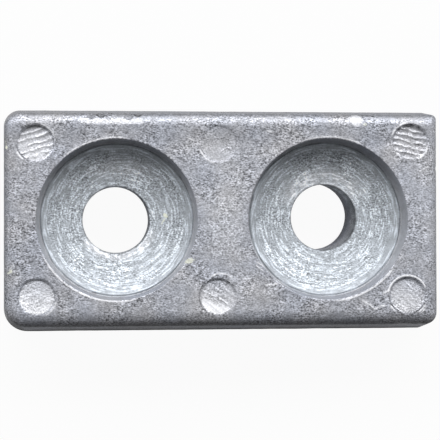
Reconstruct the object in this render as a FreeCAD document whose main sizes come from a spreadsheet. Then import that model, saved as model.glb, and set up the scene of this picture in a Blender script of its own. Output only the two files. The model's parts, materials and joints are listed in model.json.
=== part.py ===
"""Sacrificial anode: a die-cast block with two dished bolt seats.

The block lies on its flat back, with the dished face up. The origin is on the back, below
the middle of the block. X runs along the block, through both bolt holes, and Z points out
of the dished face. Lengths are in millimetres and angles in degrees.
"""

import FreeCAD, Part
import os

import Sketcher

Vector = FreeCAD.Vector

# Driving sizes, written once: the sheet holds them, and every feature is bound to the sheet
SIZES = [
    # Block: its outline at the back, its height and the draft of its four sides
    ("back_length", 94.4),
    ("back_width", 49.0),
    ("block_height", 19.0),
    ("long_side_draft", 7.2),
    ("short_side_draft", 5.1),
    ("corner_radius", 3.8),
    ("face_edge_radius", 3.3),
    # Bolt seats: the broken rim, the drafted wall, then the bowl down to the bore's mouth
    ("hole_spacing", 44.45),
    ("rim_radius", 16.85),
    ("rim_break", 0.35),
    ("wall_run", 0.5),
    ("wall_drop", 4.2),
    ("bowl_drop", 1.8),
    ("bowl_radius", 48.0),
    # Bores: a parallel land below the mouth, then a flare to the back
    ("bore_radius", 7.05),
    ("bore_land", 5.0),
    ("bore_back_radius", 7.55),
    # Round marks that the ejector pins leave in the face
    ("mark_radius", 3.8),
    ("mark_end_inset", 8.0),
    ("mark_side_inset", 8.4),
    ("middle_mark_shift", 0.85),
    ("depth_left_top", 0.7),
    ("depth_middle_top", 0.12),
    ("depth_right_top", 0.7),
    ("depth_left_bottom", 0.35),
    ("depth_middle_bottom", 0.35),
    ("depth_right_bottom", 0.5),
]

# Each mark's name, its side of the block's middle along X and along Y
MARKS = [
    ("left_top", -1, 1),
    ("middle_top", 0, 1),
    ("right_top", 1, 1),
    ("left_bottom", -1, -1),
    ("middle_bottom", 0, -1),
    ("right_bottom", 1, -1),
]

# How far a cutting section reaches past the surfaces that it opens
CUT_MARGIN = 1.0

# Two levels or radii closer than this are the same
SAME = 1e-6

doc = FreeCAD.newDocument("sacrificial_anode")
sheet = doc.addObject("Spreadsheet::Sheet", "sizes")
for row, (name, value) in enumerate(SIZES, start=1):
    sheet.set(f"A{row}", name)
    sheet.set(f"B{row}", str(value))
    sheet.setAlias(f"B{row}", name)
doc.recompute()


def size(name):
    """A driving size, to place sketch points near where their constraints hold them."""
    return float(getattr(sheet, name))


def origin_plane(role):
    """The body's own origin plane with this role."""
    return next(item for item in body.Origin.OriginFeatures if item.Role == role)


def new_sketch(name, role, offsets):
    """Sketch on an origin plane, moved along its own axes by the given expressions."""
    sketch = body.newObject("Sketcher::SketchObject", name)
    sketch.AttachmentSupport = [(origin_plane(role), "")]
    sketch.MapMode = "FlatFace"
    for axis, expression in offsets.items():
        sketch.setExpression(f"AttachmentOffset.Base.{axis}", expression)
    return sketch


def constrain(sketch, *arguments):
    """Add a constraint that has no value."""
    sketch.addConstraint(Sketcher.Constraint(*arguments))


def dimension(sketch, name, expression, *arguments):
    """Add a constraint whose value follows an expression of the sheet's sizes."""
    index = sketch.addConstraint(Sketcher.Constraint(*arguments))
    sketch.renameConstraint(index, name)
    sketch.setExpression(f"Constraints.{name}", expression)


def closed_loop(sketch, count):
    """Join the first geometry elements end to end."""
    for number in range(count):
        constrain(sketch, "Coincident", number, 2, (number + 1) % count, 1)


def names(kind, shapes, test):
    """Names of the faces or edges of a shape that pass a test."""
    return [f"{kind}{number}" for number, item in enumerate(shapes, start=1) if test(item)]


def finish(feature, base=None):
    """Make a feature the body's tip, and stop if it failed or took nothing off its base."""
    body.Tip = feature
    doc.recompute()
    if feature.Shape.isNull() or not feature.Shape.isValid():
        raise RuntimeError(f"{feature.Name} has no valid shape")
    if base and feature.Shape.Volume >= base.Shape.Volume:
        raise RuntimeError(f"{feature.Name} took nothing off {base.Name}")
    return feature


def block():
    """The drafted block, with its corners and the edge round the dished face rounded."""
    outline = new_sketch("back_outline", "XY_Plane", {})
    half_x = size("back_length") / 2
    half_y = size("back_width") / 2
    corners = [(-half_x, -half_y), (half_x, -half_y), (half_x, half_y), (-half_x, half_y)]
    for number, corner in enumerate(corners):
        following = corners[(number + 1) % len(corners)]
        outline.addGeometry(Part.LineSegment(Vector(*corner), Vector(*following)), False)
    closed_loop(outline, len(corners))
    for number, direction in enumerate(("Horizontal", "Vertical", "Horizontal", "Vertical")):
        constrain(outline, direction, number)
    constrain(outline, "Symmetric", 0, 1, 2, 1, -1, 1)
    dimension(outline, "full_length", "sizes.back_length", "DistanceX", 0, 1, 0, 2, 2 * half_x)
    dimension(outline, "full_width", "sizes.back_width", "DistanceY", 1, 1, 1, 2, 2 * half_y)

    pad = body.newObject("PartDesign::Pad", "block")
    pad.Profile = outline
    pad.setExpression("Length", "sizes.block_height")
    solid = finish(pad)

    # The sides lean in from the back, so that the casting leaves its mould
    for name, axis in (("long_side_draft", "y"), ("short_side_draft", "x")):
        sides = names("Face", solid.Shape.Faces, lambda face: abs(getattr(face.normalAt(0, 0), axis)) > 0.9)
        draft = body.newObject("PartDesign::Draft", name)
        draft.Base = (solid, sides)
        draft.NeutralPlane = (origin_plane("XY_Plane"), [""])
        draft.setExpression("Angle", f"sizes.{name}")
        solid = finish(draft, solid)

    upright = names("Edge", solid.Shape.Edges, lambda edge: edge.BoundBox.ZLength > SAME)
    corner_rounding = body.newObject("PartDesign::Fillet", "corner_rounding")
    corner_rounding.Base = (solid, upright)
    corner_rounding.setExpression("Radius", "sizes.corner_radius")
    solid = finish(corner_rounding, solid)

    level = size("block_height")
    dished_face = names("Face", solid.Shape.Faces, lambda face: face.BoundBox.ZMin > level - SAME)
    edge_rounding = body.newObject("PartDesign::Fillet", "face_edge_rounding")
    edge_rounding.Base = (solid, dished_face)
    edge_rounding.setExpression("Radius", "sizes.face_edge_radius")
    return finish(edge_rounding, solid)


def seat_section():
    """Half section of a bolt seat and its bore, right of the sketch's vertical axis.

    It goes up from the back: the flare, the parallel land, the bowl from the mouth of the
    bore out to the foot of the wall, the drafted wall, and the broken rim in the face.
    """
    sketch = new_sketch("seat_section", "XZ_Plane", {"x": "sizes.hole_spacing / 2"})
    top = size("block_height")
    rim = size("rim_radius")
    broken = size("rim_break")
    lean = size("wall_run")
    bowl_rise = size("bowl_drop")
    land_length = size("bore_land")
    wall_top = rim - broken
    foot = wall_top - lean
    foot_level = top - size("wall_drop")
    mouth = size("bore_radius")
    mouth_level = foot_level - bowl_rise
    land_level = mouth_level - land_length
    back = size("bore_back_radius")

    below = [
        Vector(0, -CUT_MARGIN),
        Vector(back, -CUT_MARGIN),
        Vector(back, 0),
        Vector(mouth, land_level),
        Vector(mouth, mouth_level),
    ]
    above = [
        Vector(foot, foot_level),
        Vector(wall_top, top - broken),
        Vector(rim, top),
        Vector(rim, top + CUT_MARGIN),
        Vector(0, top + CUT_MARGIN),
        below[0],
    ]
    for start, end in zip(below, below[1:]):
        sketch.addGeometry(Part.LineSegment(start, end), False)
    # The bowl's low point, so that its arc starts with the radius that its constraint keeps
    chord = above[0] - below[-1]
    reach = size("bowl_radius")
    sag = reach - (reach ** 2 - (chord.Length / 2) ** 2) ** 0.5
    low_point = below[-1] + chord * 0.5 + Vector(chord.y, -chord.x).normalize() * sag
    sketch.addGeometry(Part.Arc(below[-1], low_point, above[0]), False)
    for start, end in zip(above, above[1:]):
        sketch.addGeometry(Part.LineSegment(start, end), False)

    # Elements in their order round the section
    bottom, entry, flare, land, bowl, wall, rim_break, exit_side, lid, axis = range(10)
    closed_loop(sketch, 10)
    for line in (bottom, lid):
        constrain(sketch, "Horizontal", line)
    for line in (entry, land, exit_side):
        constrain(sketch, "Vertical", line)
    constrain(sketch, "PointOnObject", axis, 1, -2)
    constrain(sketch, "PointOnObject", axis, 2, -2)
    constrain(sketch, "PointOnObject", entry, 2, -1)

    mouth_height = "sizes.block_height - sizes.wall_drop - sizes.bowl_drop"
    dimension(sketch, "back_radius", "sizes.bore_back_radius", "DistanceX", -1, 1, flare, 1, back)
    dimension(sketch, "land_radius", "sizes.bore_radius", "DistanceX", -1, 1, land, 2, mouth)
    dimension(sketch, "land_length", "sizes.bore_land", "DistanceY", land, 1, land, 2, land_length)
    dimension(sketch, "mouth_height", mouth_height, "DistanceY", -1, 1, land, 2, mouth_level)
    dimension(sketch, "bowl_rise", "sizes.bowl_drop", "DistanceY", bowl, 1, bowl, 2, bowl_rise)
    dimension(sketch, "bowl_arc", "sizes.bowl_radius", "Radius", bowl, reach)
    dimension(sketch, "wall_lean", "sizes.wall_run", "DistanceX", wall, 1, wall, 2, lean)
    dimension(sketch, "break_run", "sizes.rim_break", "DistanceX", rim_break, 1, rim_break, 2, broken)
    dimension(sketch, "break_drop", "sizes.rim_break", "DistanceY", rim_break, 1, rim_break, 2, broken)
    dimension(sketch, "rim", "sizes.rim_radius", "DistanceX", -1, 1, rim_break, 2, rim)
    dimension(sketch, "face_height", "sizes.block_height", "DistanceY", -1, 1, rim_break, 2, top)
    constrain(sketch, "DistanceY", exit_side, 1, exit_side, 2, CUT_MARGIN)
    constrain(sketch, "DistanceY", entry, 1, entry, 2, CUT_MARGIN)
    return sketch


def bolt_seats(solid):
    """Both bolt seats with their bores: the right one turned, the left one mirrored."""
    section = seat_section()
    seat = body.newObject("PartDesign::Groove", "right_seat")
    seat.Profile = section
    seat.ReferenceAxis = (section, ["V_Axis"])
    seat.Angle = 360.0
    finish(seat, solid)

    pair = body.newObject("PartDesign::Mirrored", "seat_pair")
    pair.Originals = [seat]
    pair.MirrorPlane = (origin_plane("YZ_Plane"), [""])
    return finish(pair, seat)


def ejector_mark(solid, name, side_x, side_y):
    """Shallow round recess where an ejector pin pushed the casting out of its mould."""
    end_reach = f"{side_x} * (sizes.back_length / 2 - sizes.mark_end_inset)"
    side_reach = f"{side_y} * (sizes.back_width / 2 - sizes.mark_side_inset)"
    along = end_reach if side_x else "-sizes.middle_mark_shift"
    sketch = new_sketch(f"mark_{name}_outline", "XY_Plane",
                        {"x": along, "y": side_reach, "z": "sizes.block_height"})
    radius = size("mark_radius")
    sketch.addGeometry(Part.Circle(Vector(0, 0), Vector(0, 0, 1), radius), False)
    constrain(sketch, "Coincident", 0, 3, -1, 1)
    dimension(sketch, "mark", "sizes.mark_radius", "Radius", 0, radius)
    pocket = body.newObject("PartDesign::Pocket", f"mark_{name}")
    pocket.Profile = sketch
    pocket.setExpression("Length", f"sizes.depth_{name}")
    return finish(pocket, solid)


body = doc.addObject("PartDesign::Body", "anode_casting")
body.Label = "anode_casting"
casting = bolt_seats(block())
for mark in MARKS:
    casting = ejector_mark(casting, *mark)

failed = [item.Name for item in doc.Objects if "Invalid" in item.State or "Error" in item.State]
if failed:
    raise RuntimeError(f"failed features: {failed}")
shape = body.Shape
if shape.isNull() or not shape.isValid() or len(shape.Solids) != 1:
    raise RuntimeError("the casting isn't one valid solid")

os.makedirs("parts", exist_ok=True)
shape.exportStep(f"parts/{body.Label}.step")
box = shape.BoundBox
extent = f"{box.XLength:.2f} x {box.YLength:.2f} x {box.ZLength:.2f} mm"
print(f"{body.Label}: {shape.Volume:.1f} cubic mm, {extent}")
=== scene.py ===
import json
import math

import bmesh
import bpy
import numpy as np
from mathutils import Matrix, Vector, kdtree, noise
from mathutils.geometry import delaunay_2d_cdt


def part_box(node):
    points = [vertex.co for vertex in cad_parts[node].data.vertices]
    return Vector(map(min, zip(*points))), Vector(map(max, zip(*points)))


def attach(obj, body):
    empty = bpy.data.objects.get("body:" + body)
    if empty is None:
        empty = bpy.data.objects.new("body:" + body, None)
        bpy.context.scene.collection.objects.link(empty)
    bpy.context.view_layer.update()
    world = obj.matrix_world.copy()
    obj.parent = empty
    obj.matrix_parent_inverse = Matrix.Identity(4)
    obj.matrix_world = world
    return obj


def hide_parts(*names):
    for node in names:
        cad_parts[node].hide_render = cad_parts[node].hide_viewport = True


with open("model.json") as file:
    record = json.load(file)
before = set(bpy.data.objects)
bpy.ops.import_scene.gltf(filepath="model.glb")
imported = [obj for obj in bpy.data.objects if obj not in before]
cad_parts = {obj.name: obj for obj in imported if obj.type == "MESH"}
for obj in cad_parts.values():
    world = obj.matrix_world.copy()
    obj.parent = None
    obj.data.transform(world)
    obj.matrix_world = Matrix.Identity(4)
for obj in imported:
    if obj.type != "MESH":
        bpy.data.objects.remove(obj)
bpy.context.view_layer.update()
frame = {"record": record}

# The looks of one cast sacrificial anode: a block with two dished bolt seats and six ejector-pin marks.
# Lengths are in millimetres and become metres where Blender takes them. +Y is up in the picture.
MM = 0.001
NODE = "anode_casting"
BODY = "root"

# The block and its bores, from the frame. The skin lies about SKIN_DEPTH under the form that is built first,
# and each seat is shifted a little off its bore's axis.
HIGH = np.array(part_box(NODE)[1]) / MM
BACK_HALF = HIGH[:2]
TOP = HIGH[2]
BORES = [mount for mount in frame["record"]["mounts"] if mount["kind"] == "bore"]
SEAT_SHIFTS = np.array([(0.0, 0.0), (-0.12, 0.04)])
SEAT_CENTRES = [np.array(bore["pos_m"][:2]) / MM + shift for bore, shift in zip(BORES, SEAT_SHIFTS)]
LEFT, RIGHT = SEAT_CENTRES
SKIN_DEPTH = 0.13
BORE_RADIUS = BORES[0]["dims"]["r_mm"] - SKIN_DEPTH

# The sides go anticlockwise from +X: right, upper, left, lower. Each corner follows the side of its number.
SIDES = np.array([(1, 0), (0, 1), (-1, 0), (0, -1)])
CORNER_SIGNS = np.array([(1, 1), (-1, 1), (-1, -1), (1, -1)])

# The draft of each side, the round between face and side, and the corner radii of the plan outline at the
# flat face, below its round and at the back
DRAFTS = np.radians([5.1, 7.2, 5.1, 7.2])
EDGE_RADII = np.array([3.0, 2.85, 2.7, 3.4])
FACE_CORNERS = np.array([0.7, 0.7, 1.0, 0.9])
SIDE_CORNERS = np.array([1.2, 3.7, 5.0, 2.6])
BACK_CORNERS = np.array([0.7, 3.8, 5.2, 1.9])
BACK_EDGE_RADIUS = 0.4

# The turned section of a bolt seat: radii, and depths and heights of its edges. The bowl is straight round
# the seat's axis for NEAR_WALL inside the wall's foot.
RIM_RADIUS = 16.87
RIM_BREAK = 0.35
WALL_FOOT_RADIUS = 16.2
WALL_FOOT_DEPTH = 4.2
BOWL_DEPTH = 6.0
BOWL_RADIUS = 48.0
CREASE_DEPTH = 0.16
CREASE_WIDTH = 0.16
NEAR_WALL = 0.6
MOUTH_BREAK = 0.13
LAND_BOTTOM = 8.0
FLARE_RADIUS = 7.35 - SKIN_DEPTH
BACK_BREAK = 0.2

# The bores run a little out of true: how far each is off its seat's axis at its mouth and at the back
MOUTH_SHIFTS = np.array([(-0.24, 0.04), (-0.23, 0.43)])
BACK_SHIFTS = np.array([(-0.55, 0.04), (-0.56, 0.81)])

# How far the right seat's rim grows outwards and how far it moves, and the distances from the seat's middle
# between which the pull sets in inside the rim and dies out round it
RIM_GROWTH = 0.22
RIM_SHIFT = np.array((-0.15, 0.04))
PULL_INSIDE, PULL_OUTSIDE = (11.0, 15.5), (19.0, 17.3)

# Mesh density: steps along corners and sides, levels of the rings, steps round a seat and levels down it, and
# the spacing of points on the face, in the marks, along the strokes and on the back
ARC_STEPS = 14
LONG_STEPS = 290
SHORT_STEPS = 130
EDGE_LEVELS = 17
SIDE_LEVELS = 11
BACK_EDGE_LEVELS = 3
SEAT_STEPS = 288
FACE_SPACING = 0.37
MARK_SPACING = 0.21
STROKE_SPACING = 0.13
BACK_SPACING = 3.0
RIM_LEVELS = 6
WALL_LEVELS = 9
BOWL_LEVELS = 29

# Rows of points round a rim, and the least gaps to lines, rims and edges. Loose points keep at least a share
# of their own spacing, points closer than the weld gap become one, and a sliver is too small to matter.
RIM_ROWS = (0.2, 0.45)
LINE_GAP, RIM_GAP, EDGE_GAP, WELD_GAP = 0.06, 0.14, 0.1, 0.004
GAP_SHARE = 0.6
SLIVER = 0.00002

# The six round ejector-pin marks: place, depth at the upper and lower edge, height of the ridges on the
# floor, their turn in degrees, spacing and bend, how coarse the skin is, and the painted light on its lower
# part
TOP_LEFT, TOP_MIDDLE, TOP_RIGHT = (-38.94, 15.78), (-1.06, 15.79), (39.45, 16.35)
LOW_LEFT, LOW_MIDDLE, LOW_RIGHT = (-38.75, -15.99), (-1.34, -16.1), (38.77, -16.05)
MARK_RADIUS = 3.8
MARK_WALL = 0.2
MARK_STEPS = 96
MARK_KEYS = ("centre", "upper", "lower", "ridge", "turn", "wave", "bend", "grain", "pale_and_highlight")
MARKS = [dict(zip(MARK_KEYS, row)) for row in (
    (TOP_LEFT, 0.7, 0.08, 0.14, 17, 1.25, 0.35, 0.6, 0.5),
    (TOP_MIDDLE, 0.1, 0.08, 0.0, 0, 1.0, 0.0, 0.7, 0.25),
    (TOP_RIGHT, 0.85, 0.12, 0.2, -13, 1.2, 0.4, 0.6, 0.0),
    (LOW_LEFT, 0.4, 0.06, 0.03, 25, 0.7, 0.4, 0.9, 0.85),
    (LOW_MIDDLE, 0.5, 0.06, 0.05, -38, 1.1, 0.2, 0.8, 0.42),
    (LOW_RIGHT, 0.55, 0.08, 0.04, -40, 0.9, 0.3, 0.8, 0.46),
)]

# How far the ridges may rise above the face
CREST_LIMIT = 0.05

# The lower part of each mark gets painted light, in this direction of the plan
MARK_SLANT = (0.3, 0.95)

# The smooth bared patch in the low middle mark: how far below the middle its slanting edge starts and ends,
# and how bright it is
BARED_PATCH = (0.9, 1.9, 0.6)

# Raised lips round a circle, and grooves where the height is below 0: centre, radius, the angles in degrees
# where the line starts and ends going anticlockwise, its height and its width. The last four run round the
# lower sides of the scallops. Each line fades out over LIP_RAMP degrees at its ends.
LIPS = (
    (LEFT, 17.0, 80, 134, 0.06, 0.12),
    (LEFT, 16.98, 203, 286, 0.07, 0.12),
    (RIGHT, 17.05, 272, 326, 0.09, 0.14),
    (RIGHT, 17.15, 325, 337, 0.05, 0.12),
    (RIGHT, 17.05, 140, 150, 0.07, 0.14),
    (RIGHT, 17.02, 58, 112, 0.05, 0.12),
    (LOW_RIGHT, 4.2, 20, 175, 0.09, 0.13),
    (LOW_RIGHT, 4.2, 205, 232, 0.08, 0.14),
    (LOW_RIGHT, 4.25, 298, 335, 0.07, 0.12),
    (LOW_RIGHT, 4.7, 305, 330, 0.05, 0.1),
    (LOW_LEFT, 4.1, 290, 350, 0.05, 0.15),
    (TOP_LEFT, 4.2, 200, 236, 0.09, 0.15),
    (TOP_LEFT, 4.1, 20, 75, 0.045, 0.13),
    (TOP_MIDDLE, 4.1, 195, 260, 0.06, 0.14),
    (TOP_RIGHT, 4.1, 95, 165, 0.06, 0.14),
    (TOP_RIGHT, 4.0, 290, 345, 0.08, 0.14),
    (LOW_MIDDLE, 3.95, 125, 240, -0.08, 0.13),
    (TOP_LEFT, 3.9, 185, 250, -0.07, 0.09),
    (LOW_RIGHT, 3.95, 180, 238, -0.07, 0.1),
    (LOW_RIGHT, 3.95, 285, 340, -0.08, 0.1),
    ((-27.6, 21.7), 0.85, 190, 350, -0.09, 0.11),
    ((-25.5, 22.1), 0.9, 195, 345, -0.09, 0.11),
    ((-19.8, 21.7), 0.95, 190, 350, -0.09, 0.11),
    ((-17.9, 22.3), 0.85, 195, 335, -0.08, 0.11),
)

LIP_RAMP = 9

# Fine raised and sunk lines: height, width and the line's points
STROKES = (
    (0.063, 0.13, ((29.4, -17.2), (30.7, -18.0), (31.7, -18.9), (32.4, -18.6), (33.2, -18.2), (33.9, -18.2))),
    (0.054, 0.14, ((33.6, -15.7), (34.2, -15.2), (34.9, -15.0))),
    (-0.072, 0.12, ((-29.6, 17.9), (-28.7, 17.2))),
    (0.054, 0.12, ((-7.6, 17.0), (-6.4, 16.4))),
    (0.054, 0.14, ((9.2, 18.5), (10.2, 18.2))),
    (0.063, 0.16, ((8.7, -13.7), (10.2, -13.6), (11.4, -13.3))),
    (0.054, 0.11, ((-1.9, 17.1), (-1.0, 16.9), (0.1, 17.1))),
    (0.045, 0.1, ((-1.7, 17.7), (-1.4, 17.3))),
    (0.045, 0.1, ((-0.8, 13.9), (0.0, 14.6), (0.9, 14.9), (1.7, 14.4))),
    (0.036, 0.1, ((-3.0, 14.8), (-2.3, 13.9))),
    (-0.054, 0.12, ((-3.6, -12.8), (-2.0, -13.6))),
    (0.054, 0.12, ((-4.2, -15.0), (-2.2, -16.0), (-0.4, -16.9), (0.9, -17.8))),
    (-0.063, 0.1, ((0.3, -13.7), (1.2, -12.8))),
    (0.054, 0.12, ((-2.6, -11.8), (-1.2, -11.2), (0.4, -11.4), (1.6, -12.1))),
    (0.045, 0.1, ((-44.3, -10.2), (-43.3, -9.2))),
    (0.054, 0.12, ((41.5, 10.1), (42.6, 10.7), (43.2, 11.0))),
    (-0.054, 0.12, ((28.2, 14.9), (29.0, 15.6), (29.9, 15.1))),
    (0.054, 0.12, ((7.2, -8.9), (8.6, -9.7))),
    (0.054, 0.12, ((6.9, -9.6), (8.4, -10.6))),
)

# Dents: centre, half sizes and depth. The first four are the hollows of scallops in the upper edge.
DENTS = (
    ((-27.6, 21.6, 18.0), (0.9, 0.8, 1.1), 0.2),
    ((-25.5, 22.0, 17.8), (1.0, 0.8, 1.1), 0.25),
    ((-19.8, 21.6, 18.0), (1.0, 0.8, 1.1), 0.22),
    ((-17.9, 22.2, 17.6), (1.0, 0.8, 1.1), 0.25),
    ((-47.2, -11.7, 2.0), (1.5, 2.2, 6.0), 0.38),
    ((47.2, -15.6, 3.0), (1.5, 1.0, 6.0), 0.3),
    ((45.2, 10.8, 16.6), (0.9, 0.6, 1.2), 0.12),
    ((34.75, 16.4, 19.0), (0.7, 1.2, 1.0), 0.2),
    ((38.2, -22.6, 16.5), (2.4, 0.7, 1.2), 0.12),
    ((31.5, 9.5, 19.0), (0.5, 0.5, 0.8), 0.09),
)

SCALLOPS = 4

# Worn flats on the round of the upper side: middle along X, half length, tilt and depth
FLATS = (
    (-23.2, 6.6, math.radians(18), 0.1),
    (28.0, 1.3, math.radians(24), 0.06),
)

# A small round painted highlight on the upper round: its middle, and the radii where its edge starts and ends
HIGHLIGHT_DISC = (28.0, 20.9)
DISC_EDGE = (1.45, 1.05)

# Broad paler patches of the face: middle, half sizes and share
PALE_PATCHES = (
    ((0.0, 0.0), (4.5, 10.0), 0.2),
    ((0.0, -15.0), (10.0, 5.0), 0.14),
    ((42.0, 2.0), (4.0, 12.0), 0.12),
)

# Painted sheen in bands on the turned bowls: centre, radius, width, first and last angle in degrees, and
# share. Each fades out over BAND_RAMP degrees at its ends.
PAINTED_SHEEN_BANDS = (
    (LEFT, 7.8, 0.7, 200, 350, 0.6),
    (LEFT, 11.2, 1.8, 50, 130, 0.25),
    (RIGHT, 8.9, 1.9, 25, 165, 0.4),
)
BAND_RAMP = 25

# Painted shade, from 0 to 1: on the sides and the round under the face, a painted shadow along the edge at
# the back, a plain darker strip along the upper side, and painted shade on the lines and walls of the seats
# and bores
SIDE_SHADE, UPPER_SIDE_SHADE, LEFT_SIDE_SHADE = 0.3, 0.22, 0.08
LOWER_ROUND_SHADE = 0.5
BASE_SHADOW_SHARE, LOWER_BASE_SHADOW_SHARE = 0.4, 0.85
MOST_SHADE = 0.92
STRIP_DARKENING, STRIP_MIDDLE_DARKENING = 0.16, 0.06
CREASE_SHADE, RIM_SHADE, MOUTH_SHADE, BORE_SHADE = 0.5, 0.3, 0.6, 0.1
SCALLOP_SHADE = 0.12
GROOVE_SHADE, GROOVE_LIMIT = 8, 0.08

# Where those begin and end: slopes of the surface, heights above the back and distances along Y
SIDE_FACING = 0.7
SIDE_SLOPE = (0.88, 0.5)
ROUND_SLOPES = ((0.4, 0.8), (0.992, 0.95))
BACK_RISE, LOWER_BACK_RISE = (2.2, 0.8), (5.2, 3.4)
UPPER_STRIP = (14.5, 17.0)
STRIP_MIDDLE = ((0, 17), (12, 4))
STRIP_SLOPE = 0.95
BACK_SLOPE = -0.5
MOUTH_LINE = 0.15
BORE_REACH = 9

# How pale the skin is, from 0 to 1: painted highlights on lips for each millimetre of height, on the worn
# flats, the disc and the ridges of the marks, painted light on the seat walls by their facing, and the
# highlight lost as painted shade in scallops
LIP_HIGHLIGHT = 16
WALL_PAINTED_LIGHT, FLAT_HIGHLIGHT, DISC_HIGHLIGHT = 0.4, 0.85, 0.75
SCALLOP_LOSS = 0.8
WALL_LIGHT_SLOPES = ((-0.85, -0.3), (0.95, 0.5))
CREST_HIGHLIGHT, CREST_GAIN = 0.22, 5

# How coarse the skin is in the bowls and on their outer rims, and how much paler or highlighted skin loses of
# it
BOWL_GRAIN, RIM_GRAIN = 0.78, 0.2
GRAIN_FADE = (2.4, 1.0)
PALER_SMOOTHS, BARED_SMOOTHS = 0.85, 0.7

# The camera: it stands over the left seat and is turned a little, to aim near the middle of the block
CAMERA_FOOT = (-22.8, -3.0)
CAMERA_HEIGHT = 255.0
CAMERA_AIM = (-0.91, -0.12)
CAMERA_LENS = 100.65
CAMERA_ROLL = math.radians(-0.14)
SENSOR_WIDTH = 36
CLIP_START = 0.01

# Stage, in metres: half the floor's width and its level, and the lamp's place, size and power
FLOOR_HALF = 2.5
FLOOR_LEVEL = -0.0002
LAMP_PLACE = (0, 1.2, 1.05)
LAMP_AIM = (0, 0, 0.01)
LAMP_LENGTH, LAMP_WIDTH, LAMP_POWER = 4.6, 0.8, 72
SKY_STRENGTH = 0.2


def outline(bounds, corners):
    """Points of a rounded rectangle, anticlockwise, with each point's place round the sides, where 1.5 is
    halfway between side 1 and side 2. The number of points is always the same."""
    points = []
    places = []
    centres = [corner_centre(bounds, corners, quarter) for quarter in range(4)]
    for quarter, steps in enumerate((LONG_STEPS, SHORT_STEPS, LONG_STEPS, SHORT_STEPS)):
        shares = np.linspace(0, 1, ARC_STEPS + 1)
        angles = math.pi / 2 * (quarter + shares)
        arc_normals = np.column_stack((np.cos(angles), np.sin(angles)))
        arc = centres[quarter] + corners[quarter] * arc_normals
        following = (quarter + 1) % 4
        end = centres[following] + corners[following] * arc_normals[-1]
        along = np.linspace(0, 1, steps + 1)[1:-1, None]
        points += [arc, arc[-1] + along * (end - arc[-1])]
        places += [quarter + shares, np.full(steps - 1, quarter + 1.0)]
    return np.vstack(points), np.concatenate(places)


def corner_centre(bounds, corners, quarter):
    """Centre of a corner's arc. Bounds are the distances of the four sides from the middle."""
    reach = np.array((bounds[0 if quarter in (0, 3) else 2], bounds[1 if quarter in (0, 1) else 3]))
    return CORNER_SIGNS[quarter] * (reach - corners[quarter])


def beyond_outline(plan, bounds, corners, growth=(1, 1, 1, 1)):
    """How far plan points lie outside a rounded rectangle, and their place round its sides. Growth is how
    much each corner's radius gains for each millimetre outwards."""
    distance = np.full(len(plan), -np.inf)
    place = np.zeros(len(plan))
    for side, normal in enumerate(SIDES):
        out = plan @ normal - bounds[side]
        place = np.where(out > distance, side, place)
        distance = np.maximum(out, distance)
    for quarter in range(4):
        local = CORNER_SIGNS[quarter] * (plan - corner_centre(bounds, corners, quarter))
        slide = 1 - growth[quarter]
        square = 2 * slide**2 - growth[quarter] ** 2
        linear = 2 * (slide * local.sum(axis=1) + corners[quarter] * growth[quarter])
        constant = (local**2).sum(axis=1) - corners[quarter] ** 2
        root = np.sqrt(np.maximum(linear**2 - 4 * square * constant, 0))
        out = 2 * constant / np.maximum(linear + root, SLIVER)
        local = local - slide * out[:, None]
        inside = (local > 0).all(axis=1)
        distance = np.where(inside, out, distance)
        share = np.arctan2(*(local.T if quarter % 2 else local.T[::-1])) / (math.pi / 2)
        place = np.where(inside, quarter + share, place)
    return distance, place


def round_radius(place):
    """Radius of the round between face and sides at a place round the sides."""
    return np.interp(place, range(5), [*EDGE_RADII, EDGE_RADII[0]])


def circle(centre, radius, steps):
    """Points of a circle, anticlockwise."""
    angles = 2 * math.pi * np.arange(steps) / steps
    return np.column_stack((centre[0] + radius * np.cos(angles), centre[1] + radius * np.sin(angles)))


class Skin:
    """Points and faces of the casting, gathered patch by patch and welded at the end."""

    def __init__(self):
        self.points = []
        self.faces = []
        self.count = 0

    def add(self, points, faces):
        self.points.append(points)
        self.faces += (np.asarray(faces) + self.count).tolist()
        self.count += len(points)

    def add_rings(self, rings):
        """Quads between neighbouring closed rings that have the same number of points."""
        around = len(rings[0])
        column = np.arange(around)
        following = (column + 1) % around
        lower = np.column_stack((column, following, following + around, column + around))
        starts = np.arange(len(rings) - 1)[:, None, None] * around
        self.add(np.vstack(rings), (lower[None] + starts).reshape(-1, 4))


def at_height(plan, height):
    """Plan points raised to one height."""
    return np.column_stack((plan, np.full(len(plan), height)))


# Distance of the sides from the middle: sharp edge of the face, flat face, and the back's flat
BACK_BOUNDS = BACK_HALF[[0, 1, 0, 1]]
SHARP_BOUNDS = BACK_BOUNDS - TOP * np.tan(DRAFTS)
FLAT_BOUNDS = SHARP_BOUNDS - EDGE_RADII * np.tan((math.pi / 2 - DRAFTS) / 2)
BACK_FLAT_BOUNDS = BACK_BOUNDS - BACK_EDGE_RADIUS
BACK_FLAT_CORNERS = BACK_CORNERS - BACK_EDGE_RADIUS

CORNER_GROWTH = (SIDE_CORNERS - FACE_CORNERS) / ((EDGE_RADII + np.roll(EDGE_RADII, -1)) / 2)

# The face's mesh runs over the round to this tilt, and the rings of the sides take over there
FACE_TILT = math.radians(30)
EDGE_END_TILT = math.radians(83)


def round_ring(tilt, inset=0.0):
    """The level of the round between face and sides where its surface has this tilt."""
    corners = FACE_CORNERS + (SIDE_CORNERS - FACE_CORNERS) * math.sin(tilt)
    plan, places = outline(FLAT_BOUNDS + EDGE_RADII * math.sin(tilt) - inset, corners)
    return np.column_stack((plan, TOP - round_radius(places) * (1 - math.cos(tilt))))


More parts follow.
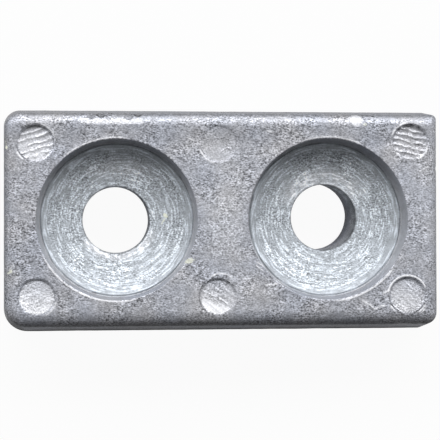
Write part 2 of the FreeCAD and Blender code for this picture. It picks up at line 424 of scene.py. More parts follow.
def side_rings():
    """Rings from partway down the round between face and sides, down the drafted sides to the back."""
    rings = [round_ring(tilt) for tilt in np.linspace(FACE_TILT, EDGE_END_TILT, EDGE_LEVELS)]
    lowest = BACK_BOUNDS - BACK_EDGE_RADIUS * np.tan(DRAFTS)
    start = rings[-1]
    end = at_height(outline(lowest, BACK_CORNERS)[0], BACK_EDGE_RADIUS)
    rings += [start + (end - start) * share for share in np.linspace(0, 1, SIDE_LEVELS)[1:]]
    for share in np.linspace(0, 1, BACK_EDGE_LEVELS + 1)[1:]:
        inset = 1 - math.cos(share * math.pi / 2)
        height = BACK_EDGE_RADIUS * (1 - math.sin(share * math.pi / 2))
        bounds = lowest + (BACK_FLAT_BOUNDS - lowest) * inset
        corners = BACK_CORNERS - BACK_EDGE_RADIUS * inset
        rings.append(at_height(outline(bounds, corners)[0], height))
    return rings


def face_height(plan):
    """Height of the face at plan points: flat in the middle and rounded down towards the sides."""
    distance, place = beyond_outline(plan, FLAT_BOUNDS, FACE_CORNERS, CORNER_GROWTH)
    radius = round_radius(place)
    reach = np.clip(distance, 0, radius * math.sin(FACE_TILT))
    return TOP - radius + np.sqrt(radius**2 - reach**2)


def within(plan, loop):
    """Whether plan points lie inside a closed loop of points."""
    inside = np.zeros(len(plan), bool)
    for start, end in zip(loop, np.roll(loop, -1, axis=0)):
        if start[1] != end[1]:
            crossed = (start[1] > plan[:, 1]) != (end[1] > plan[:, 1])
            share = (plan[:, 1] - start[1]) / (end[1] - start[1])
            inside ^= crossed & (plan[:, 0] < start[0] + share * (end[0] - start[0]))
    return inside


def inside_face(plan, margin):
    """Whether plan points lie on the face's mesh, at least a margin from its outline."""
    return within(plan, round_ring(FACE_TILT, margin)[:, :2])


def bowl_height(radius):
    """Height of the bowl, an arc through the bore's mouth and the foot of the wall."""
    mouth = np.array((BORE_RADIUS, TOP - BOWL_DEPTH))
    foot = np.array((WALL_FOOT_RADIUS, TOP - WALL_FOOT_DEPTH))
    chord = foot - mouth
    length = math.hypot(*chord)
    rise = math.sqrt(BOWL_RADIUS**2 - length**2 / 4)
    centre = (mouth + foot) / 2 + rise * np.array((-chord[1], chord[0])) / length
    return centre[1] - np.sqrt(BOWL_RADIUS**2 - (radius - centre[0]) ** 2)


def bore_centre(number, radius, height):
    """Middle of a seat's ring: it moves off the seat's axis across the bowl and down the bore."""
    mouth_edge = BORE_RADIUS + MOUTH_BREAK
    bowl_edge = WALL_FOOT_RADIUS - NEAR_WALL
    across = np.clip((bowl_edge - radius) / (bowl_edge - mouth_edge), 0, 1)
    down = np.clip(1 - height / (TOP - BOWL_DEPTH), 0, 1)
    along = MOUTH_SHIFTS[number] + (BACK_SHIFTS[number] - MOUTH_SHIFTS[number]) * down
    return SEAT_CENTRES[number] + (across if radius > mouth_edge and height > LAND_BOTTOM else 1) * along


def seat_section():
    """Radius and height down the turned section: rim, wall, crease, bowl, mouth, land and flare."""
    rim = math.pi / 2 * np.linspace(0, 1, RIM_LEVELS)
    section = [(RIM_RADIUS - RIM_BREAK * math.sin(a), TOP - RIM_BREAK * (1 - math.cos(a))) for a in rim]
    wall_top = np.array(section[-1])
    wall_foot = np.array((WALL_FOOT_RADIUS, TOP - WALL_FOOT_DEPTH))
    section += [tuple(wall_top + (wall_foot - wall_top) * share)
                for share in np.linspace(0, 1, WALL_LEVELS)[1:]]
    mouth_edge = BORE_RADIUS + MOUTH_BREAK
    near_wall = WALL_FOOT_RADIUS - np.linspace(0, NEAR_WALL, WALL_LEVELS)[1:]
    across = np.linspace(near_wall[-1], mouth_edge, BOWL_LEVELS)[1:]
    for radius in np.concatenate((near_wall, across)):
        crease = CREASE_DEPTH * math.exp(-(((WALL_FOOT_RADIUS - radius) / CREASE_WIDTH - 1) ** 2))
        section.append((radius, bowl_height(radius) - crease))
    edge_height = section[-1][1]
    for angle in rim[1:]:
        radius = mouth_edge - MOUTH_BREAK * math.sin(angle)
        section.append((radius, edge_height - MOUTH_BREAK * (1 - math.cos(angle))))
    section.append((BORE_RADIUS, LAND_BOTTOM))
    section += [(BORE_RADIUS + (FLARE_RADIUS - BORE_RADIUS) * s, LAND_BOTTOM * (1 - s) + BACK_BREAK * s)
                for s in (1 / 3, 2 / 3, 1)]
    section.append((FLARE_RADIUS + BACK_BREAK, 0))
    return section


def hex_points(low, high, spacing):
    """Points of a triangular grid over a box."""
    rows = np.arange(low[1], high[1], spacing * math.sqrt(3) / 2)
    columns = np.arange(low[0], high[0], spacing)
    grid = [np.column_stack((columns + spacing / 2 * (row % 2), np.full(len(columns), y)))
            for row, y in enumerate(rows)]
    return np.vstack(grid)


def from_centre(points, centre):
    """Distance of plan points from a centre."""
    return np.hypot(points[:, 0] - centre[0], points[:, 1] - centre[1])


def triangulate(loops, loose, keep):
    """Triangles over closed loops and loose points; keep says which triangle centres stay."""
    points = np.vstack([*loops, loose])
    edges = []
    start = 0
    for loop in loops:
        edges += [(start + k, start + (k + 1) % len(loop)) for k in range(len(loop))]
        start += len(loop)
    flat, _, faces, *_ = delaunay_2d_cdt([Vector(p) for p in points], edges, [], 0, 1e-6)
    flat = np.array([tuple(p) for p in flat])
    faces = np.array(faces)
    return flat, faces[keep(flat[faces].mean(axis=1))]


def stroke_rows(path, width):
    """Points along a stroke and beside it."""
    rows = []
    for start, end in zip(np.array(path), np.array(path)[1:]):
        along = end - start
        length = math.hypot(*along)
        shares = np.arange(0, length, STROKE_SPACING)[:, None] / length
        side = np.array((-along[1], along[0])) / length
        rows += [start + shares * along + side * width * offset for offset in (-1.8, -0.8, 0, 0.8, 1.8)]
    return np.vstack(rows)


def lip_rows(centre, radius, start, end, width):
    """Points along a lip and beside it."""
    steps = int(math.radians(end - start) * radius / (2 * STROKE_SPACING))
    angles = np.radians(np.linspace(start, end, steps))
    around = np.column_stack((np.cos(angles), np.sin(angles)))
    return np.vstack([centre + (radius + width * offset) * around for offset in (-0.8, 0, 0.8, 1.8)])


def thin_out(fixed, groups):
    """Loose points, group by group, each at least its group's gap from the fixed points and those kept."""
    kept = [fixed]
    for points, gap in groups:
        taken = np.vstack(kept)
        tree = kdtree.KDTree(len(taken))
        for number, point in enumerate(taken):
            tree.insert((*point, 0), number)
        tree.balance()
        kept.append(np.array([p for p in points if tree.find((*p, 0))[2] > gap]).reshape(-1, 2))
    return np.vstack(kept[1:])


def clear_of_seats(plan, margin):
    """Whether plan points lie on the face's mesh outside both seats, at least a margin from its edges."""
    clear = inside_face(plan, margin)
    for centre in SEAT_CENTRES:
        clear &= from_centre(plan, centre) > RIM_RADIUS + margin
    return clear


def face_patch():
    """The face between its round and the seats' rims, with each ejector-pin mark let into it."""
    marks = [np.array(mark["centre"]) for mark in MARKS]
    inner = MARK_RADIUS - MARK_WALL
    ring = round_ring(FACE_TILT)
    rims = [circle(centre, RIM_RADIUS, SEAT_STEPS) for centre in SEAT_CENTRES]
    mark_loops = [circle(c, radius, MARK_STEPS) for c in marks for radius in (MARK_RADIUS, inner)]
    lips = np.vstack([lip_rows(c, radius, start, end, width) for c, radius, start, end, _, width in LIPS])
    strokes = np.vstack([stroke_rows(path, width) for _, width, path in STROKES])
    rim_rows = np.vstack([circle(centre, RIM_RADIUS + out, SEAT_STEPS)
                          for centre in SEAT_CENTRES for out in RIM_ROWS])
    fine = []
    for centre in marks:
        grid = centre + hex_points((-inner, -inner), (inner, inner), MARK_SPACING)
        fine.append(grid[from_centre(grid, centre) < inner])
    grid = hex_points(-BACK_HALF, BACK_HALF, FACE_SPACING)
    groups = ((lips, LINE_GAP), (strokes, LINE_GAP), (np.vstack(fine), GAP_SHARE * MARK_SPACING),
              (rim_rows, RIM_GAP), (grid, GAP_SHARE * FACE_SPACING))
    groups = [(points[clear_of_seats(points, EDGE_GAP)], gap) for points, gap in groups]
    loops = [ring[:, :2], *rims, *mark_loops]

    def keep(centres):
        kept = inside_face(centres, SLIVER)
        for centre in SEAT_CENTRES:
            kept &= from_centre(centres, centre) > RIM_RADIUS * math.cos(math.pi / SEAT_STEPS)
        return kept

    plan, faces = triangulate(loops, thin_out(np.vstack(loops), groups), keep)
    height = face_height(plan) - mark_depth(plan)
    height[:len(ring)] = ring[:, 2]
    return np.column_stack((plan, height)), faces


def mark_crests(plan, mark):
    """The wavering ridges on a mark's floor at plan points, from 0 between them to about 1 on top."""
    local = plan - mark["centre"]
    flat = at_height(plan, 0)
    turn = math.radians(mark["turn"])
    along = local[:, 1] * math.cos(turn) - local[:, 0] * math.sin(turn)
    along += mark["bend"] * (cast_noise(flat, 2.2, 20.0) + 0.5 * cast_noise(flat, 0.8, 30.0))
    crests = np.exp(-4 * np.sin(math.pi * along / mark["wave"]) ** 2)
    return crests * np.clip(1 + 1.7 * cast_noise(flat, 1.3, 25.0), 0, 2)


def mark_depth(plan):
    """Depth of the ejector-pin marks at plan points: a tilted floor with ridges."""
    depth = np.zeros(len(plan))
    for mark in MARKS:
        distance = from_centre(plan, mark["centre"])
        inside = distance < MARK_RADIUS - 1e-4
        across = 0.5 + 0.5 * (plan[inside, 1] - mark["centre"][1]) / MARK_RADIUS
        floor = mark["lower"] + (mark["upper"] - mark["lower"]) * across
        floor = np.maximum(floor - mark["ridge"] * mark_crests(plan[inside], mark), -CREST_LIMIT)
        depth[inside] = floor * np.clip((MARK_RADIUS - distance[inside]) / MARK_WALL, 0, 1)
    return depth


def back_patch():
    """The plain flat back with the two bores' openings."""
    opening = FLARE_RADIUS + BACK_BREAK
    edge = outline(BACK_FLAT_BOUNDS, BACK_FLAT_CORNERS)[0]
    middles = SEAT_CENTRES + BACK_SHIFTS
    loops = [edge, *[circle(centre, opening, SEAT_STEPS) for centre in middles]]
    grid = hex_points(-BACK_HALF, BACK_HALF, BACK_SPACING)
    clear = beyond_outline(grid, BACK_FLAT_BOUNDS, BACK_FLAT_CORNERS)[0] < -BACK_SPACING / 2
    for centre in middles:
        clear &= from_centre(grid, centre) > opening + BACK_SPACING / 2

    def keep(centres):
        kept = beyond_outline(centres, BACK_FLAT_BOUNDS, BACK_FLAT_CORNERS)[0] < -SLIVER
        for centre in middles:
            kept &= from_centre(centres, centre) > opening * math.cos(math.pi / SEAT_STEPS)
        return kept

    plan, faces = triangulate(loops, grid[clear], keep)
    return at_height(plan, 0), faces


def cast_noise(points, size, seed):
    """Smooth noise from -1 to 1 at points, with lumps about as wide as size."""
    scaled = points / size + seed
    return np.array([noise.noise(Vector(p)) for p in scaled])


def weld(skin):
    """One closed mesh from the patches, in millimetres, with its faces turned outwards."""
    mesh = bpy.data.meshes.new("cast_block")
    mesh.from_pydata(np.vstack(skin.points).tolist(), [], skin.faces)
    work = bmesh.new()
    work.from_mesh(mesh)
    bmesh.ops.remove_doubles(work, verts=work.verts, dist=WELD_GAP)
    bmesh.ops.recalc_face_normals(work, faces=work.faces)
    open_edges = [edge for edge in work.edges if len(edge.link_faces) != 2]
    if open_edges:
        raise ValueError(f"the casting's mesh has {len(open_edges)} open edges")
    work.to_mesh(mesh)
    work.free()
    return mesh


# The cast skin lies a little under the nominal form, so that lips stay inside it. Its waves: width, depth
SKIN_INSET = 0.09
SKIN_WAVES = ((4.5, 0.05), (1.7, 0.03), (0.8, 0.02))

# The face and its round end between these depths under the top
FACE_REACH = (2.2, 1.4)


def fade(value, start, end):
    """Smooth rise from 0 where the value is at start to 1 where it is at end."""
    share = np.clip((value - start) / (end - start), 0, 1)
    return share * share * (3 - 2 * share)


def from_seats(points):
    """Distance of points from the nearer seat's axis."""
    return np.minimum(*(from_centre(points, centre) for centre in SEAT_CENTRES))


def on_face(points):
    """Where points belong to the face and its round: 1 there and 0 on the sides, seats and back."""
    outside = from_seats(points) > RIM_RADIUS - RIM_BREAK / 2
    return outside * fade(points[:, 2], *(TOP - depth for depth in FACE_REACH))


def bell(value, width):
    """1 where the value is 0, falling smoothly on both sides of it."""
    return np.exp(-((value / width) ** 2))


def from_path(plan, path):
    """Distance of plan points from a line of straight runs."""
    nearest = np.full(len(plan), np.inf)
    for start, end in zip(np.array(path), np.array(path)[1:]):
        along = end - start
        share = np.clip((plan - start) @ along / (along @ along), 0, 1)
        nearest = np.minimum(nearest, np.hypot(*(plan - start - share[:, None] * along).T))
    return nearest


def arc_share(points, centre, start, end, ramp):
    """1 between two angles round a centre, in degrees, fading to 0 over a ramp inside each end."""
    angle = (np.degrees(np.arctan2(points[:, 1] - centre[1], points[:, 0] - centre[0])) - start) % 360
    return fade(angle, 0, ramp) * fade(end - start - angle, 0, ramp)


def lines_height(points):
    """Height of the lips and strokes at points of the face."""
    plan = points[:, :2]
    height = np.zeros(len(plan))
    for rise, width, path in STROKES:
        height += rise * bell(from_path(plan, path), width)
    for centre, radius, start, end, rise, width in LIPS:
        ends = arc_share(points, centre, start, end, LIP_RAMP)
        height += rise * ends * bell(from_centre(plan, centre) - radius, width)
    return height * (1 + 0.5 * cast_noise(points, 0.8, 40.0))


def relief(points):
    """How far the cast skin lies under the nominal form at each point."""
    depth = np.full(len(points), SKIN_INSET)
    for seed, (size, amount) in enumerate(SKIN_WAVES):
        depth += amount * (0.5 + 0.5 * cast_noise(points, size, 10.0 * seed))
    for centre, half, amount in DENTS:
        away = (((points - centre) / half) ** 2).sum(axis=1)
        depth += amount * np.clip(1 - away, 0, 1)
    depth -= on_face(points) * lines_height(points)
    return np.maximum(depth, 0)


def flat_cut(points):
    """How far points stand above the worn flats on the upper round, and each flat's direction."""
    cuts = []
    for middle, half, tilt, depth in FLATS:
        radius = EDGE_RADII[1]
        upwards = np.array((0, math.sin(tilt), math.cos(tilt)))
        axis = np.array((0, FLAT_BOUNDS[1], TOP - radius))
        above = (points - axis) @ upwards - (radius - depth - SKIN_INSET)
        ends = fade(half - np.abs(points[:, 0] - middle), 0, 0.3)
        cuts.append((np.clip(above, 0, depth + SKIN_INSET) * ends, upwards))
    return cuts


def close_to(points, centre, half):
    """1 at a centre of the plan, fading smoothly to 0 over the half sizes and beyond."""
    return np.exp(-(((points[:, :2] - centre) / half) ** 2).sum(axis=1))


def attribute(mesh, name, values):
    """Gives the mesh one number for each point, for the material."""
    mesh.attributes.new(name, "FLOAT", "POINT").data.foreach_set("value", values)


def read(mesh, name):
    """A vector of each point of the mesh, such as its place or its normal."""
    values = np.empty(len(mesh.vertices) * 3)
    mesh.vertices.foreach_get(name, values)
    return values.reshape(-1, 3)


def scallop_bites(points, face):
    """The hollow of each scallop in the upper edge: 1 inside and 0 outside."""
    return [fade(from_centre(points, centre), 1.05, 0.8) * face for centre, *_ in DENTS[:SCALLOPS]]


def painted_shade_share(points, normal, face, wall):
    """How much painted shade each point gets: on the sides and edges, a painted shadow along the base, a
    darker strip along the upper side, and painted shade in the seats' creases, rims and bores and in the
    grooves and scallops.
    """
    around = from_seats(points)
    height = points[:, 2]
    lower = normal[:, 1] < -SIDE_FACING
    upper = normal[:, 1] > SIDE_FACING
    left_side = normal[:, 0] < -SIDE_FACING
    # Painted shade on the sides and on the round under the face; the upper and left sides get more
    side = fade(normal[:, 2], *SIDE_SLOPE)
    lower_round = fade(-normal[:, 1], *ROUND_SLOPES[0]) * fade(-normal[:, 1], *ROUND_SLOPES[1])
    # Painted shadow along the base of the sides, deepest on the lower side
    base_shadow = np.where(lower, LOWER_BASE_SHADOW_SHARE * fade(height, *LOWER_BACK_RISE),
                         BASE_SHADOW_SHARE * fade(height, *BACK_RISE))
    side_shade = (SIDE_SHADE + UPPER_SIDE_SHADE * upper + LEFT_SIDE_SHADE * left_side) * side
    front = (around > RIM_RADIUS) * (normal[:, 2] > BACK_SLOPE)
    painted_shade = front * np.clip(side_shade + LOWER_ROUND_SHADE * lower_round + base_shadow, 0, MOST_SHADE)
    # A darker strip along the upper side of the face
    strip = fade(points[:, 1], *UPPER_STRIP) * (normal[:, 2] > STRIP_SLOPE)
    painted_shade += (STRIP_DARKENING + STRIP_MIDDLE_DARKENING * close_to(points, *STRIP_MIDDLE)) * face * strip
    # Painted shade in the crease at each wall's foot and along each rim
    painted_shade += CREASE_SHADE * wall * bell(WALL_FOOT_RADIUS - around - CREASE_WIDTH, CREASE_WIDTH)
    painted_shade += RIM_SHADE * wall * bell(RIM_RADIUS - around - RIM_BREAK, RIM_BREAK)
    # Painted shade round the bore mouths and down the bores
    to_bore = np.minimum(*(from_centre(points, centre) for centre in SEAT_CENTRES + MOUTH_SHIFTS))
    below_mouth = TOP - BOWL_DEPTH - height
    mouth = bell(to_bore - BORE_RADIUS - MOUTH_LINE, MOUTH_LINE) * (np.abs(below_mouth) < 1)
    in_bore = (around < BORE_REACH) * (below_mouth > MOUTH_BREAK) * (height > BACK_BREAK)
    painted_shade += MOUTH_SHADE * mouth + BORE_SHADE * in_bore
    # Painted shade in the grooves and in the hollows of the scallops
    painted_shade += GROOVE_SHADE * np.clip(-lines_height(points), 0, GROOVE_LIMIT) * face
    for bite in scallop_bites(points, face):
        painted_shade += SCALLOP_SHADE * bite
    return painted_shade


def pale_and_highlight_share(points, normal, face, wall):
    """How pale each point is: painted highlights on lips, flats and the disc, painted sheen in bands, painted
    light on the walls by their facing, and paler patches of tone.
    """
    # Painted highlights on the lips and strokes, by their height
    pale_and_highlight = np.clip(LIP_HIGHLIGHT * lines_height(points), 0, 1) * face
    broken = np.clip(0.8 + cast_noise(points, 0.8, 60.0), 0, 1.3)
    # Painted sheen in bands on the turned bowls
    for centre, radius, width, start, end, share in PAINTED_SHEEN_BANDS:
        band = bell(from_centre(points, centre) - radius, width)
        band *= arc_share(points, centre, start, end, BAND_RAMP)
        pale_and_highlight = np.maximum(pale_and_highlight, share * wall * band * broken)
    # Painted light on the seat walls, set by which way each wall faces in the plan
    on_wall = wall * (from_seats(points) > WALL_FOOT_RADIUS - 0.02) > 0
    wall_light = fade(normal[:, 1], *WALL_LIGHT_SLOPES[0]) * fade(normal[:, 1], *WALL_LIGHT_SLOPES[1])
    pale_and_highlight = np.where(on_wall, WALL_PAINTED_LIGHT * wall_light, pale_and_highlight)
    # Painted highlights on the worn flats and the small disc of the upper round
    for cut, _ in flat_cut(points + (0, 0, 0.03)):
        pale_and_highlight = np.maximum(pale_and_highlight, FLAT_HIGHLIGHT * fade(cut, 0.0, 0.05))
    pale_and_highlight = np.maximum(pale_and_highlight, DISC_HIGHLIGHT * face * fade(from_centre(points, HIGHLIGHT_DISC), *DISC_EDGE))
    # Painted shade: the highlights fade inside the hollows of the scallops
    for bite in scallop_bites(points, face):
        pale_and_highlight *= 1 - SCALLOP_LOSS * bite
    # Paler patches of the face's own tone
    for centre, half, share in PALE_PATCHES:
        pale_and_highlight = np.maximum(pale_and_highlight, share * face * close_to(points, centre, half))
    return pale_and_highlight


def describe_marks(points, face, pale_and_highlight, grain):
    """Writes the painted light on the floors of the marks, a bared patch, and how coarse they are, over those
    of the face.
    """
    for mark in MARKS:
        inside = (from_centre(points, mark["centre"]) < MARK_RADIUS - MARK_WALL) & (face > 0.5)
        plan = points[inside, :2]
        # Painted light: the lower part of each floor is made paler, and the ridges' crests get a painted
        # highlight
        below = (mark["centre"] - plan) @ MARK_SLANT
        low = np.clip(0.5 + 0.6 * below / MARK_RADIUS, 0, 1)
        bared = fade(below, *BARED_PATCH[:2]) * (mark["centre"] == LOW_MIDDLE)
        bright = mark["pale_and_highlight"] * (0.2 + 0.8 * low) + BARED_PATCH[2] * bared
        crest = CREST_GAIN * mark["ridge"] * mark_crests(plan, mark)
        pale_and_highlight[inside] = np.clip(bright + CREST_HIGHLIGHT * crest, 0, 1)
        grain[inside] = mark["grain"] * (1 - BARED_SMOOTHS * bared)


def describe_skin(mesh, points):
    """Tells the material which points are turned, how much painted shade each gets, how pale or highlighted
    each is with painted light, and how coarse their skin is.
    """
    around = from_seats(points)
    face = on_face(points)
    normal = read(mesh, "normal")
    raised = points[:, 2] > LAND_BOTTOM
    turned = (around < WALL_FOOT_RADIUS - 0.1) * raised
    wall = (around < RIM_RADIUS - RIM_BREAK / 2) * raised
    painted_shade = painted_shade_share(points, normal, face, wall)
    pale_and_highlight = pale_and_highlight_share(points, normal, face, wall)
    smoother = (BOWL_GRAIN - RIM_GRAIN) * fade(around, *(WALL_FOOT_RADIUS - inset for inset in GRAIN_FADE))
    grain = np.where(wall, BOWL_GRAIN - smoother, 1.0)
    grain *= 1 - PALER_SMOOTHS * np.clip(pale_and_highlight, 0, 1)
    describe_marks(points, face, pale_and_highlight, grain)
    for name, values in (("turned", turned), ("painted_shade", painted_shade), ("pale_and_highlight", pale_and_highlight), ("grain", grain)):
        attribute(mesh, name, values.astype(float))


def rim_pull(points):
    """How far the rim of the right seat moves: it is a little wider than the left one, and further left."""
    away = points[:, :2] - RIGHT
    distance = from_centre(points, RIGHT)
    raised = points[:, 2] > LAND_BOTTOM + 3
    share = fade(distance, *PULL_INSIDE) * fade(distance, *PULL_OUTSIDE) * raised
    return share[:, None] * (RIM_GROWTH * away / distance[:, None] + RIM_SHIFT)


def make_casting():
    """The whole casting: welded from its patches, given its cast skin and described for the material."""
    skin = Skin()
    skin.add(*face_patch())
    skin.add_rings(side_rings())
    section = seat_section()
    for number in range(2):
        skin.add_rings([at_height(circle(bore_centre(number, radius, height), radius, SEAT_STEPS), height)
                        for radius, height in section])
    skin.add(*back_patch())
    mesh = weld(skin)
    nominal = read(mesh, "co")
    points = nominal - read(mesh, "normal") * relief(nominal)[:, None]
    for cut, upwards in flat_cut(points):
        points -= cut[:, None] * upwards
    describe_skin(mesh, points)
    points[:, :2] += rim_pull(points)
    mesh.vertices.foreach_set("co", (points * MM).ravel())
    mesh.shade_smooth()
    mesh.update()
    piece = bpy.data.objects.new("cast_block", mesh)
    bpy.context.scene.collection.objects.link(piece)
    return piece


class Graph:
    """A short way to place and link the nodes of one material."""

    def __init__(self, owner):
        owner.use_nodes = True
        self.tree = owner.node_tree
        self.tree.nodes.clear()

    def feed(self, socket, value):
        if isinstance(value, bpy.types.NodeSocket):
            self.tree.links.new(value, socket)
        else:
            socket.default_value = value

    def add(self, kind, inputs, **settings):
        node = self.tree.nodes.new(kind)
        for name, value in settings.items():
            setattr(node, name, value)
        for name, value in inputs.items():
            self.feed(node.inputs[name], value)
        return node

    def math(self, operation, first, second=0.0):
        return self.add("ShaderNodeMath", {0: first, 1: second}, operation=operation).outputs[0]

    def vector(self, operation, first, second):
        return self.add("ShaderNodeVectorMath", {0: first, 1: second}, operation=operation).outputs[0]

    def attribute(self, name):
        return self.add("ShaderNodeAttribute", {}, attribute_name=name).outputs["Fac"]

    def noise(self, place, size, detail=2.0, roughness=0.5, distortion=0.0):
        """Noise whose lumps are about size millimetres wide, from 0 to 1 round 0.5."""
        inputs = {"Vector": place, "Scale": 1 / (size * MM), "Detail": detail, "Roughness": roughness,
                  "Distortion": distortion}
        return self.add("ShaderNodeTexNoise", inputs).outputs["Fac"]

    def mix(self, share, first, second, blend="MIX"):
        node = self.add("ShaderNodeMix", {}, data_type="RGBA", blend_type=blend)
        self.feed(node.inputs[0], share)
        self.feed(node.inputs[6], first)
        self.feed(node.inputs[7], second)
        return node.outputs[2]

    def spread(self, value, low, high, start=0.0, end=1.0):
        """A value between low and high stretched to run from start to end."""
        inputs = {"Value": value, "From Min": low, "From Max": high, "To Min": start, "To Max": end}
        return self.add("ShaderNodeMapRange", inputs).outputs["Result"]

    def shade(self, colour, value, low, high, dark, light):
        """The colour multiplied by dark where the value is low, and by light where it is high."""
        factor = self.spread(value, low, high, dark, light)
        grey = self.add("ShaderNodeCombineColor", {"Red": factor, "Green": factor, "Blue": factor}).outputs[0]
        return self.mix(1.0, colour, grey, "MULTIPLY")


# Colours of the metal in cool and warm patches and turned, the white of paler patches and painted highlights,
# and of the flecks
PATCH_GREYS = ((0.474, 0.477, 0.507, 1), (0.438, 0.458, 0.517, 1))
TURNED_GREY = (0.475, 0.51, 0.552, 1)
PALE_AND_HIGHLIGHT_WHITE = (0.95, 0.96, 1.0, 1)
FLECK_YELLOW = (0.83, 0.85, 0.7, 1)

# Thin yellowish flecks: place and depth under the face, half length, half width, turn in degrees, strength
FLECKS = (
    (-12.0, 0.8, 4.8, 0.6, 0.5, 100, 0.8),
    (-12.5, -0.3, 4.9, 0.8, 0.18, 60, 0.6),
    (-7.3, -8.6, 0.0, 1.0, 0.5, 15, 0.6),
    (-45.1, 15.9, 0.0, 0.9, 0.2, 105, 0.3),
    (-44.95, 14.75, 0.0, 0.4, 0.25, 95, 1.0),
    (29.8, 19.9, 0.0, 0.4, 0.32, 0, 0.35),
    (-44.2, -10.8, 0.0, 0.7, 0.4, 35, 0.6),
)


def fleck_mask(graph, place):
    """Where the flecks lie, with ragged outlines."""
    ragged = graph.spread(graph.noise(place, 0.7, 3.0, 0.6), 0.3, 0.7, -0.45, 0.45)
    mask = 0.0
    for x, y, depth, half_length, half_width, turn, strength in FLECKS:
        centre = (x * MM, y * MM, (TOP - depth) * MM)
        local = graph.vector("SUBTRACT", place, centre)
        turning = {"Vector": local, "Angle": -math.radians(turn)}
        turned = graph.add("ShaderNodeVectorRotate", turning).outputs[0]
        scaled = graph.vector("DIVIDE", turned, (half_length * MM, half_width * MM, 2 * MM))
        away = graph.add("ShaderNodeVectorMath", {0: scaled}, operation="LENGTH").outputs["Value"]
        patch = graph.spread(graph.math("ADD", away, ragged), 1.05, 0.9, 0.0, strength)
        mask = graph.math("MAXIMUM", mask, patch)
    return mask


def ring_noise(graph, place):
    """Turning marks: fine rings round the nearer seat's axis, broken up along their length."""
    parts = graph.add("ShaderNodeSeparateXYZ", {0: place}).outputs
    across = graph.math("SUBTRACT", graph.math("ABSOLUTE", parts["X"]), RIGHT[0] * MM)
    local = graph.add("ShaderNodeCombineXYZ", {"X": across, "Y": parts["Y"]}).outputs[0]
    radius = graph.add("ShaderNodeVectorMath", {0: local}, operation="LENGTH").outputs["Value"]
    heading = graph.add("ShaderNodeVectorMath", {0: local}, operation="NORMALIZE").outputs[0]
    heading = graph.vector("MULTIPLY", heading, (1.6 * MM, 1.6 * MM, 0))
    outwards = graph.add("ShaderNodeCombineXYZ", {"Z": radius}).outputs[0]
    return graph.noise(graph.vector("ADD", heading, outwards), 0.4, 1.0, 0.5)


def cast_metal():
    """Dull grey casting: sparkling grain, cool and warm patches, turned seats and flecks, with painted shade
    on the sides, edges, creases and hollows, and painted highlights and sheen.
    """
    material = bpy.data.materials.new("cast_metal")
    graph = Graph(material)
    place = graph.add("ShaderNodeTexCoord", {}).outputs["Object"]
    turned, painted_shade, pale_and_highlight, coarse = (graph.attribute(name) for name in ("turned", "painted_shade", "pale_and_highlight", "grain"))
    grain_place = graph.vector("MULTIPLY", place, (0.65, 1.0, 1.0))
    patches = graph.noise(place, 9.0, 3.0)
    mottle = graph.noise(place, 1.6, 3.0)
    grain = graph.noise(grain_place, 0.25, 1.0, 0.4, 0.3)
    clots = graph.noise(grain_place, 0.6, 0.0)
    sparse = graph.noise(place, 5.0, 2.0)
    rings = ring_noise(graph, place)
    flecks = fleck_mask(graph, place)

    tint = graph.mix(graph.spread(patches, 0.35, 0.65), *PATCH_GREYS)
    tint = graph.mix(turned, tint, TURNED_GREY)
    # Painted highlights, painted sheen, painted light on the seat walls and paler patches mix the tint
    # towards white
    tint = graph.mix(pale_and_highlight, tint, PALE_AND_HIGHLIGHT_WHITE)
    colour = graph.shade(tint, mottle, 0.3, 0.7, 0.88, 1.1)
    arcs = graph.math("MULTIPLY", graph.spread(rings, 0.5, 0.62), turned)
    colour = graph.shade(colour, arcs, 0, 1, 0.92, 1.5)
    grained = graph.shade(colour, clots, 0.3, 0.7, 0.82, 1.18)
    grained = graph.shade(grained, grain, 0.3, 0.7, 0.2, 1.8)
    grain_share = graph.math("MULTIPLY", coarse, graph.spread(sparse, 0.38, 0.6, 0.45, 1.0))
    colour = graph.mix(grain_share, colour, grained)
    # Painted shade: darkens the sides, edges, creases and hollows, with a painted shadow along the base
    colour = graph.shade(colour, painted_shade, 0, 1, 1.0, 0.05)
    colour = graph.mix(flecks, colour, FLECK_YELLOW)

    grain_height = graph.math("MULTIPLY", graph.math("MULTIPLY", grain, coarse), 0.06)
    ring_height = graph.math("MULTIPLY", graph.math("MULTIPLY", rings, turned), 0.06)
    fleck_height = graph.math("MULTIPLY", flecks, 0.03)
    height = graph.math("ADD", graph.math("ADD", grain_height, ring_height), fleck_height)
    bump = graph.add("ShaderNodeBump", {"Strength": 1.0, "Distance": MM, "Height": height}).outputs[0]
    bare_metal = graph.spread(pale_and_highlight, 0, 1, 0.56, 0.15)
    metallic = graph.math("MULTIPLY", bare_metal, graph.spread(flecks, 0, 1, 1.0, 0.0))
    rough = graph.spread(grain, 0.3, 0.7, 0.68, 0.5)
    inputs = {"Base Color": colour, "Metallic": metallic, "Roughness": rough, "Normal": bump}
    shader = graph.add("ShaderNodeBsdfPrincipled", inputs)
    graph.add("ShaderNodeOutputMaterial", {"Surface": shader.outputs[0]})
    return material


def floor_material():
    """White paper that keeps a faint shadow."""
    material = bpy.data.materials.new("white_floor")
    graph = Graph(material)
    paper = graph.add("ShaderNodeBsdfDiffuse", {"Color": (0.6, 0.6, 0.6, 1)}).outputs[0]
    white = graph.add("ShaderNodeEmission", {"Color": (1, 1, 1, 1), "Strength": 1.0}).outputs[0]
    rays = graph.add("ShaderNodeLightPath", {}).outputs
    seen = graph.math("MULTIPLY", rays["Is Camera Ray"], 0.95)
    seen = graph.math("ADD", seen, graph.math("MULTIPLY", rays["Is Glossy Ray"], 0.15))
    seen = graph.math("ADD", seen, graph.math("MULTIPLY", rays["Is Transmission Ray"], 0.95))
    mixed = graph.add("ShaderNodeMixShader", {0: seen, 1: paper, 2: white}).outputs[0]
    graph.add("ShaderNodeOutputMaterial", {"Surface": mixed})
    return material


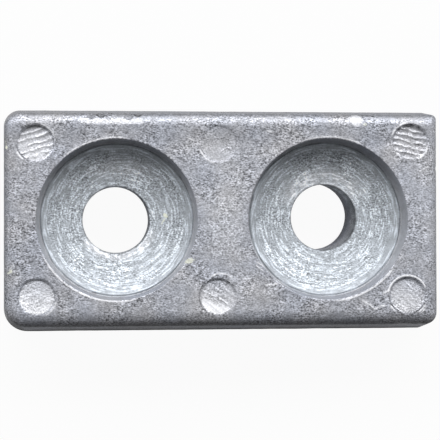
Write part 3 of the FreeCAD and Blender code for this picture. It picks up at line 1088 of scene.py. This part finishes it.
def make_floor():
    mesh = bpy.data.meshes.new("floor")
    corners = [(sx * FLOOR_HALF, sy * FLOOR_HALF, FLOOR_LEVEL) for sx, sy in CORNER_SIGNS]
    mesh.from_pydata(corners, [], [(0, 1, 2, 3)])
    floor = bpy.data.objects.new("floor", mesh)
    bpy.context.scene.collection.objects.link(floor)
    floor.data.materials.append(floor_material())


def point_at(thing, place, target):
    """Puts a camera or lamp at a place and turns it towards a target, with its upper side towards +Y."""
    back = (Vector(place) - Vector(target)).normalized()
    right = Vector((0, 1, 0)).cross(back).normalized()
    turn = Matrix((right, back.cross(right), back)).transposed()
    thing.matrix_world = Matrix.Translation(place) @ turn.to_4x4()
    bpy.context.scene.collection.objects.link(thing)


def soft_lamp(name, place, length, width, power):
    """A long soft lamp that shines on the block."""
    data = bpy.data.lights.new(name, "AREA")
    data.shape = "RECTANGLE"
    data.size = length
    data.size_y = width
    data.energy = power
    point_at(bpy.data.objects.new(name, data), place, LAMP_AIM)


def make_lights():
    soft_lamp("long_lamp", LAMP_PLACE, LAMP_LENGTH, LAMP_WIDTH, LAMP_POWER)
    world = bpy.data.worlds.new("studio")
    bpy.context.scene.world = world
    graph = Graph(world)
    sky = graph.add("ShaderNodeBackground", {"Color": (1, 1, 1, 1), "Strength": SKY_STRENGTH}).outputs[0]
    graph.add("ShaderNodeOutputWorld", {"Surface": sky})


def make_camera():
    data = bpy.data.cameras.new("camera")
    data.lens = CAMERA_LENS
    data.sensor_width = SENSOR_WIDTH
    data.clip_start = CLIP_START
    camera = bpy.data.objects.new("camera", data)
    place = (CAMERA_FOOT[0] * MM, CAMERA_FOOT[1] * MM, (TOP + CAMERA_HEIGHT) * MM)
    point_at(camera, place, (CAMERA_AIM[0] * MM, CAMERA_AIM[1] * MM, TOP * MM))
    camera.matrix_world = camera.matrix_world @ Matrix.Rotation(CAMERA_ROLL, 4, "Z")
    bpy.context.scene.camera = camera


bpy.context.scene.view_settings.view_transform = "Standard"
make_camera()
make_lights()
make_floor()
casting = make_casting()
casting.data.materials.append(cast_metal())
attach(casting, BODY)
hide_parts(NODE)
